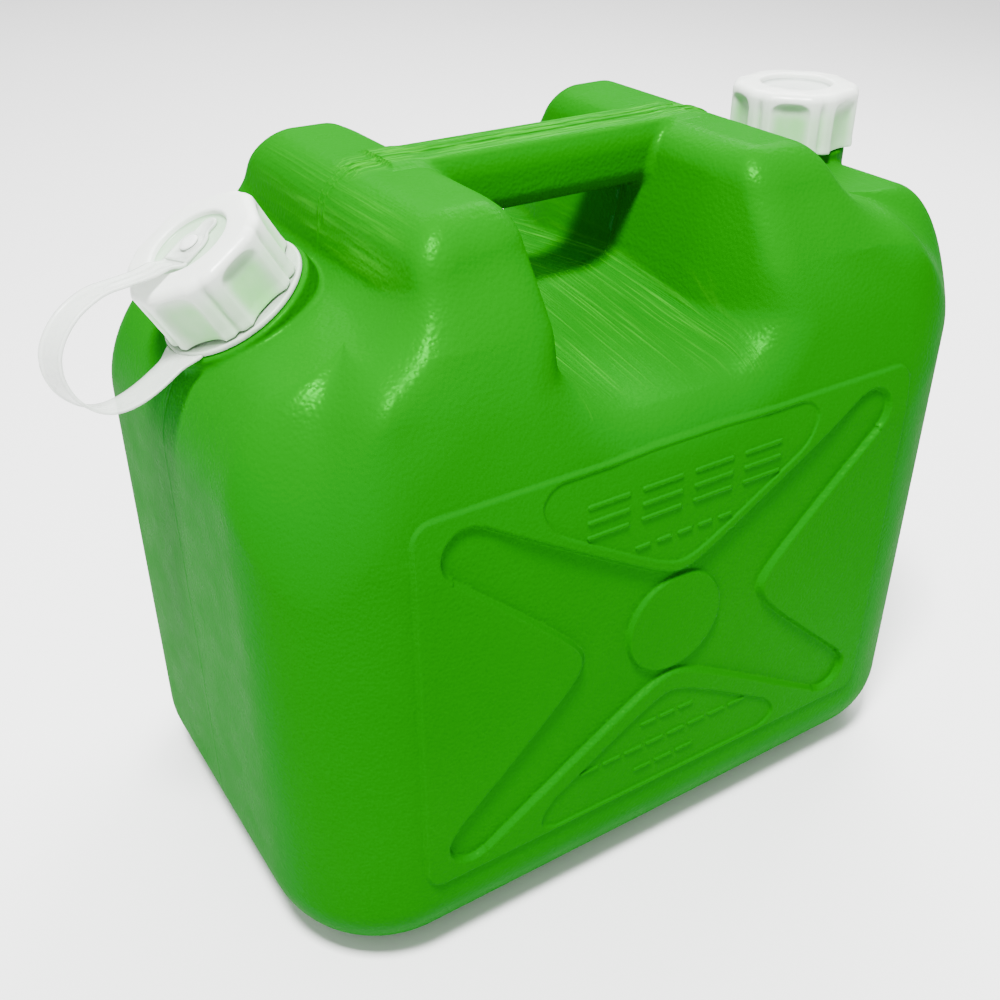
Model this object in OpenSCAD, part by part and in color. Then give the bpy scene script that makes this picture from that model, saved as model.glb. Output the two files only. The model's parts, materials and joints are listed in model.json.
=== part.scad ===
// Twenty litre blow-moulded fuel can with two screw caps and a tethered pour cap.
// Millimetres, +Z up. The origin is the middle of the flat base face.
// X runs along the long side, the pour neck is at -X and the filling neck at +X.
// The panelled front faces -Y. The mould parts on the plane Y = 0.

/* [Tank] */
// Overall length of the tank along X
tank_length = 358; // [356:1:368]
// Overall depth of the tank along Y
tank_depth = 235; // [228:1:242]
// Radius of the four upright corners
corner_radius = 54; // [48:1:58]
// Radius of the edge round the base
base_radius = 38; // [30:1:42]
// Height of the flat shoulder beside the filling neck
shoulder_height = 296; // [294:1:297]
// Radius where the shoulders roll into the short ends
end_edge_radius = 26; // [22:1:28]
// Radius where the shoulders roll into the front and back
side_edge_radius = 44; // [38:1:48]
// Wall thickness of the moulding
wall = 2.2; // [1.8:0.1:3]

/* [Ridges and handle] */
// Height of the two ridges and of the handle between them
ridge_height = 327; // [325:0.5:330]
// Height of the floor between the ridges, under the handle
floor_height = 271; // [268:1:274]
// Height of the floor at its front and back lip
lip_height = 255; // [252:1:258]
// Half the gap between the ridges at floor level
gap_half = 44; // [42:1:46]
// Width of the handle bar, front to back
handle_width = 33; // [30:1:36]
// Height of the handle bar
handle_depth = 28; // [26:1:30]

/* [Necks] */
// Tilt of the pour neck away from upright
pour_tilt = 30; // [30:1:30]
// Radius of the opening through each neck
bore_radius = 19; // [18:0.5:19.5]
// Radius of the neck wall at the thread root
neck_radius = 22.2; // [22:0.1:22.4]
// Pitch of the screw thread
thread_pitch = 6; // [6:0.5:6]

/* [Caps] */
// Largest radius of a cap
cap_radius = 30; // [29.6:0.1:30.8]
// Height of a cap
cap_height = 28; // [27.6:0.1:28.6]
// Radius of the round dish in the top of a cap
dish_radius = 17; // [16.6:0.1:17.2]
// Depth of the dish
dish_depth = 3; // [2.6:0.1:3.2]
// Gap kept between pieces that move past each other
running_gap = 0.3; // [0.25:0.05:0.4]

/* [Tether] */
// Width of the strap
strap_width = 16; // [13:0.5:17]
// Thickness of the strap
strap_thickness = 1.2; // [1:0.1:1.5]
// Turn of the strap loop away from straight outboard
strap_turn = 17; // [10:1:24]

/* [Hidden] */
$fn = 96;

half_length = tank_length / 2;
half_depth = tank_depth / 2;

// Where the flat top gives way to the slope at the pour end
slope_start = 112.3;
// Pour neck: middle of its seat on the sloping shoulder
pour_x = -140.9;
pour_z = shoulder_height - (-pour_x - slope_start) * tan(pour_tilt);
// Filling neck: middle of its seat on the flat shoulder
fill_x = 152;
// Height of the cap's lower edge above the seat of each neck
pour_cap_rise = 5;
fill_cap_rise = 5.1;

// Neck and cap inside, measured up from the cap's lower edge
neck_top = 23.2;
gasket_bottom = neck_top + running_gap;
gasket_thickness = 1.2;
cap_ceiling = gasket_bottom + gasket_thickness + running_gap;
thread_depth = 1.8;
thread_crest = neck_radius + thread_depth;
skirt_inside = thread_crest + 0.6;
cap_thread_crest = neck_radius + 0.6;
flute_radius = skirt_inside + 1.9;
plug_radius = bore_radius - 0.9;

// Stud and eyelet in the dish of the pour cap, measured up from the cap's lower edge
dish_floor = cap_height - dish_depth;
eyelet_bottom = dish_floor + running_gap;
stud_radius = 2.6;
eyelet_hole = stud_radius + running_gap;
head_radius = 4;

// ---------------------------------------------------------------- outlines

function unit(v) = v / norm(v);
function at(p, i) = p[(i + len(p)) % len(p)];
function xy(p) = [p[0], p[1]];

// Move every edge of a rounded outline inward; outlines run anticlockwise
function edge_shift(a, b, d) = let (u = unit(b - a)) [-u[1], u[0]] * d;
function inset_corner(a, b, c, d) =
    let (u = unit(b - a), w = unit(c - b),
         n = [-u[1], u[0]] + [-w[1], w[0]],
         k = 2 * d / (n * n))
    b + n * k;
function turn(a, b, c) = (b[0] - a[0]) * (c[1] - b[1]) - (b[1] - a[1]) * (c[0] - b[0]);
function inset_outline(p, d) = [
    for (i = [0 : len(p) - 1])
        let (a = xy(at(p, i - 1)), b = xy(p[i]), c = xy(at(p, i + 1)),
             q = inset_corner(a, b, c, d),
             bend = turn(a, b, c) > 0 ? -1 : 1)
        [q[0], q[1], p[i][2] > 0 ? max(p[i][2] + bend * d, 1) : 0]];

// Tangent length and circle centre of the rounding at one corner
function half_angle(a, b, c) = acos(unit(a - b) * unit(c - b)) / 2;
function reach(a, b, c, r) = r / tan(half_angle(a, b, c));
function centre(a, b, c, r) =
    b + unit(unit(a - b) + unit(c - b)) * r / sin(half_angle(a, b, c));

// Area of an outline whose corners [x, y, r] are rounded with true arcs
module rounded_outline(p) {
    n = len(p);
    corners = [for (i = [0 : n - 1]) [xy(at(p, i - 1)), xy(p[i]), xy(at(p, i + 1)), p[i][2]]];
    flat_points = [for (k = corners) let (t = reach(k[0], k[1], k[2], k[3]))
        each (k[3] > 0
            ? [k[1] + unit(k[0] - k[1]) * t, k[1] + unit(k[2] - k[1]) * t]
            : [k[1]])];
    difference() {
        union() {
            polygon(flat_points);
            for (k = corners)
                if (k[3] > 0 && turn(k[0], k[1], k[2]) > 0)
                    translate(centre(k[0], k[1], k[2], k[3])) circle(k[3]);
        }
        for (k = corners)
            if (k[3] > 0 && turn(k[0], k[1], k[2]) < 0)
                translate(centre(k[0], k[1], k[2], k[3])) circle(k[3]);
    }
}

// Sweep a front-view outline (X, Z) from front to back
module along_y(length) {
    translate([0, length / 2, 0]) rotate([90, 0, 0]) linear_extrude(length) children();
}

// Sweep an end-view outline (Y, Z) from end to end
module along_x(length) {
    translate([-length / 2, 0, 0]) rotate([90, 0, 90]) linear_extrude(length) children();
}

// ---------------------------------------------------------------- tank

// Front view of the body, with a shoulder that slopes 30 degrees down to the pour end
function body_front() = [
    [-half_length, 0, base_radius],
    [half_length, 0, base_radius],
    [half_length, shoulder_height, end_edge_radius],
    [-slope_start, shoulder_height, 8],
    [-half_length, shoulder_height - (half_length - slope_start) * tan(pour_tilt), end_edge_radius]];

// End view of the body
function body_end() = [
    [-half_depth, 0, base_radius],
    [half_depth, 0, base_radius],
    [half_depth, shoulder_height, side_edge_radius],
    [-half_depth, shoulder_height, side_edge_radius]];

// Seen from above
function body_plan() = [
    [-half_length, -half_depth, corner_radius],
    [half_length, -half_depth, corner_radius],
    [half_length, half_depth, corner_radius],
    [-half_length, half_depth, corner_radius]];

// Front view of the right-hand ridge, running down into the shoulder
function ridge_front() = [
    [gap_half - 6, 200, 0],
    [115.5, 200, 0],
    [115.5, shoulder_height - 6, 0],
    [105, shoulder_height, 8],
    [99, ridge_height, 16],
    [55, ridge_height, 14],
    [gap_half - 6, 240, 0]];

// End view of a ridge, with its long slope to the front and back
function ridge_end() = [
    [-half_depth, 200, 0],
    [half_depth, 200, 0],
    [half_depth, 245, 24],
    [79, ridge_height, 16],
    [-79, ridge_height, 16],
    [-half_depth, 245, 24]];

// End view of the floor between the ridges, which rolls over into the front and back
function floor_end() = [
    [-half_depth - 0.3, 150, 0],
    [half_depth + 0.3, 150, 0],
    [half_depth + 0.3, lip_height - 4.3, 24],
    [49, floor_height, 60],
    [-49, floor_height, 60],
    [-half_depth - 0.3, lip_height - 4.3, 24]];

// Front view of the gap between the ridges
function scoop_front() = [
    [-gap_half + 4, 200, 0],
    [gap_half - 4, 200, 0],
    [gap_half + 16, 400, 0],
    [-gap_half - 16, 400, 0]];

// End view of the handle bar
function handle_end() = [
    [-handle_width / 2, ridge_height - handle_depth, 9],
    [handle_width / 2, ridge_height - handle_depth, 9],
    [handle_width / 2, ridge_height - 7, 2],
    [handle_width / 2 - 4, ridge_height, 2],
    [-handle_width / 2 + 4, ridge_height, 2],
    [-handle_width / 2, ridge_height - 7, 2]];

// The moulding's outside, or its inside when the skin thickness is taken off
module tank_form(skin) {
    difference() {
        intersection() {
            union() {
                intersection() {
                    along_y(400) rounded_outline(inset_outline(body_front(), skin));
                    along_x(400) rounded_outline(inset_outline(body_end(), skin));
                }
                intersection() {
                    union() {
                        along_y(400) rounded_outline(inset_outline(ridge_front(), skin));
                        mirror([1, 0, 0])
                            along_y(400) rounded_outline(inset_outline(ridge_front(), skin));
                    }
                    along_x(400) rounded_outline(inset_outline(ridge_end(), skin));
                }
            }
            linear_extrude(400) rounded_outline(inset_outline(body_plan(), skin));
        }
        difference() {
            along_y(400) rounded_outline(inset_outline(scoop_front(), -skin));
            along_x(300) rounded_outline(inset_outline(floor_end(), skin));
        }
    }
    along_x(2 * gap_half + 30) rounded_outline(inset_outline(handle_end(), skin));
}

module tank_shell() {
    color([0.02, 0.62, 0.02])
    difference() {
        tank_form(0);
        tank_form(wall);
        at_pour_neck() translate([0, 0, -14]) cylinder(h = 30, r = boss_radius);
        at_fill_neck() translate([0, 0, -40]) cylinder(h = 46, r = collar_radius);
    }
}

// ---------------------------------------------------------------- necks

boss_radius = 33.3;
collar_radius = 26.8;
// The collar stands this far above the shoulder, and its skirt reaches this far below it
collar_rise = 4.8;
collar_skirt = 30;

module at_pour_neck() {
    translate([pour_x, 0, pour_z]) rotate([0, -pour_tilt, 0]) children();
}

module at_fill_neck() {
    translate([fill_x, 0, shoulder_height]) children();
}

// One turn and a half of right-hand screw thread, from its foot radius to its crest radius
module thread(r_foot, r_crest, start) {
    steps = 54;
    turns = 1.5;
    // The ends run out to nothing over the first and last steps
    function fade(i) = min(1, 0.15 + 0.85 * min(i, steps - i) / 6);
    function crest(i) = r_foot + (r_crest - r_foot) * fade(i);
    function ring(i) = let (a = start + 360 * turns * i / steps, z = thread_pitch * turns * i / steps)
        [for (q = [[r_foot, -1.5], [crest(i), -0.8], [crest(i), 0.8], [r_foot, 1.5]])
            [q[0] * cos(a), q[0] * sin(a), z + q[1]]];
    inward = r_crest < r_foot;
    faces = concat(
        [[0, 1, 2], [0, 2, 3]],
        [for (i = [0 : steps - 1], j = [0 : 3], k = [0, 1])
            let (a = 4 * i + j, b = 4 * i + (j + 1) % 4, c = a + 4, d = b + 4)
            k == 0 ? [a, c, b] : [b, c, d]],
        [[4 * steps, 4 * steps + 2, 4 * steps + 1], [4 * steps, 4 * steps + 3, 4 * steps + 2]]);
    polyhedron(
        points = [for (i = [0 : steps]) each ring(i)],
        faces = inward ? faces : [for (f = faces) [f[2], f[1], f[0]]],
        convexity = 4);
}

// Threaded tube that a cap screws on, from its foot up to the rim
module neck_finish(foot) {
    difference() {
        union() {
            translate([0, 0, foot]) cylinder(h = neck_top - foot, r = neck_radius);
            translate([0, 0, 9]) thread(neck_radius - 0.3, thread_crest, 0);
        }
        translate([0, 0, foot - 1]) cylinder(h = neck_top - foot + 2, r = bore_radius);
    }
}

// Round boss in the sloping shoulder with the tilted neck standing on it
module pour_neck() {
    color([0.02, 0.6, 0.02])
    at_pour_neck() {
        difference() {
            translate([0, 0, -wall]) cylinder(h = wall + 2, r = boss_radius);
            translate([0, 0, -wall - 1]) cylinder(h = wall + 1, r = boss_radius - wall);
            translate([0, 0, -wall - 1]) cylinder(h = wall + 4, r = bore_radius);
        }
        translate([0, 0, pour_cap_rise]) neck_finish(2 - pour_cap_rise);
    }
}

// Collar standing out of the flat shoulder with the upright neck on it
module fill_neck() {
    color([0.02, 0.6, 0.02])
    at_fill_neck() {
        difference() {
            translate([0, 0, -collar_skirt]) cylinder(h = collar_skirt + collar_rise, r = collar_radius);
            translate([0, 0, -collar_skirt - 1])
                cylinder(h = collar_skirt + 1 + collar_rise - wall, r = collar_radius - wall);
            translate([0, 0, 0]) cylinder(h = 6, r = bore_radius);
        }
        translate([0, 0, fill_cap_rise]) neck_finish(collar_rise - fill_cap_rise);
    }
}

// ---------------------------------------------------------------- caps

// Six wide hollows for the fingers, with a doubled rib between each two
module cap_outline() {
    // Circle that cuts one hollow: it meets the rim 18 degrees either side of the middle
    edge_x = cap_radius * cos(18);
    edge_y = cap_radius * sin(18);
    sag = edge_x - flute_radius;
    flute_curve = (edge_y * edge_y + sag * sag) / (2 * sag);
    difference() {
        circle(cap_radius);
        for (i = [0 : 5])
            rotate(42.5 + 60 * i) translate([flute_radius + flute_curve, 0]) circle(flute_curve);
        for (i = [0 : 5])
            rotate(12.5 + 60 * i) translate([cap_radius + 1.1, 0]) circle(2);
    }
}

// Cap from its lower edge up, hollow below and dished above
module cap_body() {
    difference() {
        union() {
            difference() {
                linear_extrude(cap_height) cap_outline();
                translate([0, 0, -1]) cylinder(h = cap_ceiling + 1, r = skirt_inside);
            }
            translate([0, 0, cap_ceiling - 3]) cylinder(h = 4, r = plug_radius);
            translate([0, 0, 9 - thread_pitch / 2]) thread(skirt_inside + 0.3, cap_thread_crest, 0);
        }
        translate([0, 0, dish_floor]) cylinder(h = dish_depth + 1, r = dish_radius);
        translate([0, 0, -1]) cylinder(h = cap_ceiling - 1.5 + 1, r = plug_radius - 2);
    }
}

module pour_cap() {
    color([0.93, 0.95, 0.91])
    at_pour_neck() translate([0, 0, pour_cap_rise]) cap_body();
}

module fill_cap() {
    color([0.93, 0.95, 0.91])
    at_fill_neck() translate([0, 0, fill_cap_rise]) cap_body();
}

// Flat sealing ring that lies between the neck's rim and the cap
module gasket() {
    translate([0, 0, gasket_bottom])
    difference() {
        cylinder(h = gasket_thickness, r = skirt_inside - 0.4);
        translate([0, 0, -1]) cylinder(h = gasket_thickness + 2, r = plug_radius + 0.4);
    }
}

module pour_gasket() {
    color([0.2, 0.2, 0.2])
    at_pour_neck() translate([0, 0, pour_cap_rise + running_gap]) gasket();
}

module fill_gasket() {
    color([0.2, 0.2, 0.2])
    at_fill_neck() translate([0, 0, fill_cap_rise]) gasket();
}

// Headed stud that holds the eyelet down in the dish
module cap_stud() {
    color([0.9, 0.93, 0.9])
    at_pour_neck() translate([0, 0, pour_cap_rise + dish_floor]) {
        cylinder(h = 2, r = stud_radius);
        translate([0, 0, running_gap * 2 + strap_thickness]) cylinder(h = 1, r = head_radius);
    }
}

// ---------------------------------------------------------------- tether

ring_bottom = 2.4;
ring_thickness = 2;
ring_inside = thread_crest + 0.7;
ring_outside = 31.5;

// Frame of the strap: X points outboard along the loop, Z along the neck
module at_tether() {
    at_pour_neck() rotate(180 + strap_turn) children();
}

module tether_ring() {
    color([0.9, 0.94, 0.9])
    at_tether()
    difference() {
        translate([0, 0, ring_bottom]) cylinder(h = ring_thickness, r = ring_outside);
        translate([0, 0, ring_bottom - 1]) cylinder(h = ring_thickness + 2, r = ring_inside);
    }
}

module tether_eyelet() {
    color([0.9, 0.94, 0.9])
    at_tether() translate([0, 0, pour_cap_rise + eyelet_bottom])
    linear_extrude(strap_thickness)
    difference() {
        union() {
            circle(8);
            translate([0, -strap_width / 2]) square([strap_start, strap_width]);
            translate([-10.5, 0]) circle(4);
            translate([-10.5, -4]) square([10.5, 8]);
        }
        circle(eyelet_hole);
    }
}

// Where the strap leaves the eyelet, outboard of the stud
strap_start = 9;
strap_level = pour_cap_rise + eyelet_bottom + strap_thickness / 2;

// Middle line of the strap: outboard distance, and height above the neck's seat
strap_path = [
    [strap_start, strap_level], [10.2, strap_level], [11.6, strap_level + 0.9],
    [13.4, 33.2], [15.2, 34.5], [18, 35.5], [22, 37], [27, 39.4], [32.3, 42.2],
    [39, 45.6], [45.5, 47.2], [52.5, 47.7], [59.2, 46.6], [64.8, 44.3], [69.1, 40.9],
    [72.5, 35.4], [73.9, 28.3], [72.9, 21.6], [70.4, 16], [66, 11.4], [58.8, 7.6],
    [49.5, 5.2], [39.5, 4], [32, ring_bottom + ring_thickness / 2], [29, ring_bottom + ring_thickness / 2]];

module tether_strap() {
    color([0.9, 0.94, 0.9])
    at_tether()
    difference() {
        translate([0, strap_width / 2, 0]) rotate([90, 0, 0]) linear_extrude(strap_width)
        polygon(concat(
            [for (i = [0 : len(strap_path) - 1]) strap_side(i, strap_thickness / 2)],
            [for (i = [len(strap_path) - 1 : -1 : 0]) strap_side(i, -strap_thickness / 2)]));
        cylinder(h = 8, r = ring_outside);
    }
}

function strap_side(i, d) =
    let (a = strap_path[max(i - 1, 0)], b = strap_path[min(i + 1, len(strap_path) - 1)],
         u = unit(b - a))
    strap_path[i] + [-u[1], u[0]] * d;

tank_shell();
pour_neck();
fill_neck();
pour_cap();
pour_gasket();
cap_stud();
tether_ring();
tether_strap();
tether_eyelet();
fill_cap();
fill_gasket();
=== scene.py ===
"""Looks of a twenty litre blow-moulded fuel can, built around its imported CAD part.

Shapes are worked out in millimetres in the frame of the part and put into Blender in metres.
The tank is one smooth implicit solid, turned into a mesh here; the caps are turned profiles
with hollows; the strap is swept along the route that the CAD strap follows.
"""
import json
import math

import bmesh
import bpy
import numpy as np
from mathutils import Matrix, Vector

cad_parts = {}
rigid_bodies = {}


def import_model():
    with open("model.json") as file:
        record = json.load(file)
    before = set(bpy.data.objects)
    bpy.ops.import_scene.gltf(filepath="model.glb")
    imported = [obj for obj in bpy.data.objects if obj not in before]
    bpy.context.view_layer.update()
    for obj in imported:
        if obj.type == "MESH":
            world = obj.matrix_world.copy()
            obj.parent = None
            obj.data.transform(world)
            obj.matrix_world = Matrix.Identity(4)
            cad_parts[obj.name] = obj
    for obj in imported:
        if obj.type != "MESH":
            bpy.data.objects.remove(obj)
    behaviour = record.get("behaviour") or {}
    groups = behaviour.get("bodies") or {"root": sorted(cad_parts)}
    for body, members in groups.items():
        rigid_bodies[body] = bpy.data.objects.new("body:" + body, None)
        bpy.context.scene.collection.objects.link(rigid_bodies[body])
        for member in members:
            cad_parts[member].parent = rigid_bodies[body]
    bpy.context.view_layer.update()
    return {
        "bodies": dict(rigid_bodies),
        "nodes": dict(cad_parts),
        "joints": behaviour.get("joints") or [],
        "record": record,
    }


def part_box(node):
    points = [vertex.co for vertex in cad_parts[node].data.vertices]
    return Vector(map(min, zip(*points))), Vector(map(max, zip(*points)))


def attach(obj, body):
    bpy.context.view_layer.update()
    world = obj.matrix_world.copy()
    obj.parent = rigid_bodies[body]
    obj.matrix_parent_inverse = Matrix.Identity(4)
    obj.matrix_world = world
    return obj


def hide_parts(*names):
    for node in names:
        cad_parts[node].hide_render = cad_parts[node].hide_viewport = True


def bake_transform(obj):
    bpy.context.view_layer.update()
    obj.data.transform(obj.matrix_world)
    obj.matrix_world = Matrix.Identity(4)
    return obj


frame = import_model()

MM = 0.001

# ------------------------------------------------------------------ sizes, in millimetres

tank_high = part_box("tank_shell")[1]

# tank
HALF_LENGTH = tank_high.x / MM
HALF_DEPTH = tank_high.y / MM
HANDLE_TOP = tank_high.z / MM
CORNER = 54.0
BASE_ROUNDING = 38.0
SHOULDER = HANDLE_TOP - 31
SLOPE_START = 112.3
SLOPE = math.radians(30)
FLOOR = HANDLE_TOP - 56
RIDGE_END = 79.0
END_ROUNDING = 28.0
SIDE_ROUNDING = 44.0

# panel on the front and back walls
PANEL_X = -1.5
PANEL_Z = 140.0
PANEL_HALF = 128.0
PANEL_HALF_HEIGHT = 92.5

# necks: middle of each seat, axis, and the direction across it
POUR_DISTANCE = 140.9
POUR_SEAT = np.array([-POUR_DISTANCE, 0.0, SHOULDER - (POUR_DISTANCE - SLOPE_START) * math.tan(SLOPE)])
POUR_AXIS = np.array([-math.sin(SLOPE), 0.0, math.cos(SLOPE)])
POUR_CROSS = np.array([math.cos(SLOPE), 0.0, math.sin(SLOPE)])
POUR_RISE = 5.0
FILL_SEAT = np.array([152.0, 0.0, SHOULDER])
FILL_AXIS = np.array([0.0, 0.0, 1.0])
FILL_CROSS = np.array([1.0, 0.0, 0.0])
FILL_RISE = 5.1
BORE = 19.0
NECK = 22.2
NECK_TOP = 23.2
WELL = 20.6
WELL_DEPTH = 45.0
THREAD = 1.8
PITCH = 6.0
BOSS = 33.3
BOSS_RISE = 2.0
COLLAR = 26.8
COLLAR_RISE = 4.8

# caps
CAP_RADIUS = 30.0
CAP_HEIGHT = 28.0
SKIRT_INSIDE = NECK + THREAD + 0.6
HOLLOW_DEPTH = CAP_RADIUS - SKIRT_INSIDE - 1.4
HOLLOW_HALF = CAP_RADIUS * math.sin(math.radians(18.5))
HOLLOW_ARCH = 7.0
CAP_CEILING = 24.7
PLUG = BORE - 0.9
DISH_RADIUS = 17.0
DISH_FLOOR = CAP_HEIGHT - 3.0
TOP_ROUNDING = 4.0

# tether
STRAP_TURN = math.pi + math.radians(17)
STRAP_WIDTH = 16.0
STRAP_THICK = 1.2
STRAP_START = 9.0
STRAP_LEVEL = POUR_RISE + DISH_FLOOR + 0.3 + STRAP_THICK / 2
RING_LEVEL = 3.4
RING_OUTSIDE = 31.5
RING_INSIDE = 24.7

# colours
# painted light: the lower-body greens are a shaded copy of the plastic, the upper greens a lit copy, for
# light falling from above
GREEN_LOW_SHADED_DEEP = (0.0, 0.108, 0.002)
GREEN_LOW_SHADED_BRIGHT = (0.0, 0.13, 0.002)
GREEN_LIT_TOP_DEEP = (0.0, 0.118, 0.001)
# scoring marks painted a lighter green: partly their own tone, partly painted sheen of the key light on them
GREEN_SCORE_AND_SHEEN = (0.03, 0.34, 0.004)
GREEN_LIT_TOP = (0.0005, 0.142, 0.001)
# dielectric and metallic share of the shine on the green plastic
SHINE = 0.0
GLINT = 0.085
MILK = (0.72, 0.76, 0.71)
MILK_THIN = (0.52, 0.57, 0.53)
# painted light: green of the neck and tank seen through and reflected into the cap hollows, darkened there as
# painted shade
MILK_GREEN_BOUNCE_AND_SHADE = (0.2, 0.66, 0.17)

# camera: lens in millimetres, distance and target in metres
LENS = 43.02
CAMERA_AZIMUTH = math.radians(-32.36)
CAMERA_ELEVATION = math.radians(31.9)
CAMERA_DISTANCE = 0.598
CAMERA_TARGET = Vector((-0.0181, 0, 0.1467))


# ------------------------------------------------------------------ implicit shape tools


def step(a, b, v):
    """Smooth step from 0 at a to 1 at b."""
    t = np.clip((v - a) / (b - a), 0, 1)
    return t * t * (3 - 2 * t)


def both(a, b, r):
    """Intersection of two distances, its edge rounded to radius r."""
    u, v = a + r, b + r
    return np.where((u > 0) & (v > 0), np.hypot(u, v) - r, np.maximum(a, b))


def either(a, b, r):
    """Union of two distances, with a fillet of radius r in the corner."""
    return -both(-a, -b, r)


def rounded_rectangle(x, y, half_x, half_y, r):
    qx, qy = np.abs(x) - half_x + r, np.abs(y) - half_y + r
    return np.hypot(np.maximum(qx, 0), np.maximum(qy, 0)) + np.minimum(np.maximum(qx, qy), 0) - r


def leaning(u, v, a, b):
    """Distance from the line through a and b in the plane (u, v), positive on its right-hand side."""
    du, dv = b[0] - a[0], b[1] - a[1]
    return ((u - a[0]) * dv - (v - a[1]) * du) / math.hypot(du, dv)


def along_axis(x, y, z, seat, axis):
    """Height above a seat along its axis, and distance from that axis."""
    px, py, pz = x - seat[0], y - seat[1], z - seat[2]
    h = px * axis[0] + py * axis[1] + pz * axis[2]
    return h, np.sqrt(np.maximum(px * px + py * py + pz * pz - h * h, 0))


# ------------------------------------------------------------------ the tank as a solid


def top_distance(x, y, z):
    """The shoulders: flat beside the filling neck, sloping down to the pour end."""
    flat = z - SHOULDER
    sloped = (flat + (-x - SLOPE_START) * math.tan(SLOPE)) * math.cos(SLOPE)
    return both(flat, sloped, 30)


def front_lean(y, z):
    """The plane in which the ridges lean back from the front and the back wall."""
    return leaning(np.abs(y), z, (HALF_DEPTH, 245), (RIDGE_END, HANDLE_TOP))


def ridge_distance(x, y, z):
    flank = leaning(np.abs(x), z, (105, SHOULDER), (99, HANDLE_TOP))
    d = both(z - (HANDLE_TOP - 1.5), flank, 16)
    r = 13 + 13 * step(305, 275, z) + 2 * step(305, 322, z)
    return both(d, front_lean(y, z), r)


def recess_distance(x, y, z):
    ay = np.abs(y)
    floor = both(z - FLOOR, leaning(ay, z, (102.5, 255), (49, FLOOR)), 60)
    half = 43.5 + 7 * step(50, 100, ay)
    side = (np.abs(x) - half - (z - FLOOR) * 0.2) * 0.98
    return both(-floor, side, 14 + 16 * step(50, 100, ay))


def handle_distance(x, y, z):
    ay = np.abs(y)
    bar = both(ay - 16.2, z - HANDLE_TOP, 2)
    bar = both(bar, leaning(ay, z, (16.2, HANDLE_TOP - 7), (12.2, HANDLE_TOP)), 2)
    bar = both(bar, HANDLE_TOP - 28 - z, 9)
    return np.maximum(bar, np.abs(x) - 75)


def well_distance(x, y, z, seat, axis):
    """Well in the tank that the blind foot of a neck stands in."""
    h, r = along_axis(x, y, z, seat, axis)
    return np.maximum(r - WELL, -WELL_DEPTH - h)


def tank_form(x, y, z):
    """The moulding without its necks, panels and seam."""
    plan = rounded_rectangle(x, y, HALF_LENGTH, HALF_DEPTH, CORNER)
    qx = np.maximum(np.abs(x) - HALF_LENGTH + CORNER, 0) + 1e-6
    qy = np.maximum(np.abs(y) - HALF_DEPTH + CORNER, 0)
    frontness = qy * qy / (qx * qx + qy * qy)
    d = either(top_distance(x, y, z), ridge_distance(x, y, z), 9 + 14 * step(40, 95, np.abs(y)))
    rounding = END_ROUNDING + (SIDE_ROUNDING - END_ROUNDING) * frontness
    rounding = rounding + 90 * frontness * (1 - frontness)
    d = both(plan, d, rounding)
    # below the shoulders the lean of the ridge ends fans out and dies into the wall
    out = np.abs(x) - 95 - 1.5 * np.maximum(285 - z, 0)
    fan = front_lean(y, z) - 0.3 * (out + np.hypot(out, 14))
    d = both(d, fan, 16)
    d = both(d, -z, BASE_ROUNDING)
    edge = 13 + 11 * step(285, 262, z)
    d = both(d, -recess_distance(x, y, z), edge)
    return either(d, handle_distance(x, y, z), 4)


def tank_distance(x, y, z):
    d = tank_form(x, y, z)
    d = d - np.where(np.abs(y) > HALF_DEPTH - 8, panel_relief(x, z, y), 0)
    d = d - seam_relief(x, y, z)
    h, r = along_axis(x, y, z, POUR_SEAT, POUR_AXIS)
    boss = both(both(r - BOSS, h - BOSS_RISE, 1.6), -12 - h, 1)
    d = either(d, boss, 2.5)
    h, r = along_axis(x, y, z, FILL_SEAT, FILL_AXIS)
    collar = both(both(r - COLLAR, h - COLLAR_RISE, 2.2), -28 - h, 1)
    d = either(d, collar, 2.5)
    d = both(d, -well_distance(x, y, z, POUR_SEAT, POUR_AXIS), 0.3)
    return both(d, -well_distance(x, y, z, FILL_SEAT, FILL_AXIS), 0.3)


# ------------------------------------------------------------------ relief on the walls


def cross_outline(u, v):
    """Four-armed hollow of the panel, from its middle; u and v are distances from the two middle lines."""
    upper = (v - 22.5 - 0.62 * np.hypot(u, 9)) * 0.85
    lower = (u - 39.5 - 1.12 * np.hypot(v, 9)) * 0.666
    tip_u, tip_v, tip_r = 105.0, 74.0, 11.2
    size = math.hypot(tip_u, tip_v)
    beyond = ((u - tip_u) * tip_u + (v - tip_v) * tip_v) / size
    return np.where(beyond > 0, np.hypot(u - tip_u, v - tip_v) - tip_r, np.maximum(upper, lower))


def label_outline(u, v, gap, half, limit):
    """Rounded triangle between two arms of the hollow, where a real can carries its lettering."""
    sides = -(v - 22.5 - gap - 0.62 * np.hypot(u, 9)) * 0.85
    return both(both(sides, u - half, 10), v - limit, 11)


def bar_row(x, z, centre_z, half_height, pitch, count, width):
    """Distance from a row of upright bars, each a plain rounded stroke."""
    k = np.clip(np.round(x / pitch + (count - 1) / 2), 0, count - 1)
    local = x - (k - (count - 1) / 2) * pitch
    beside = np.maximum(np.abs(local) - width / 2, 0)
    above = np.maximum(np.abs(z - centre_z) - half_height, 0)
    return np.hypot(beside, above)


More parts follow.
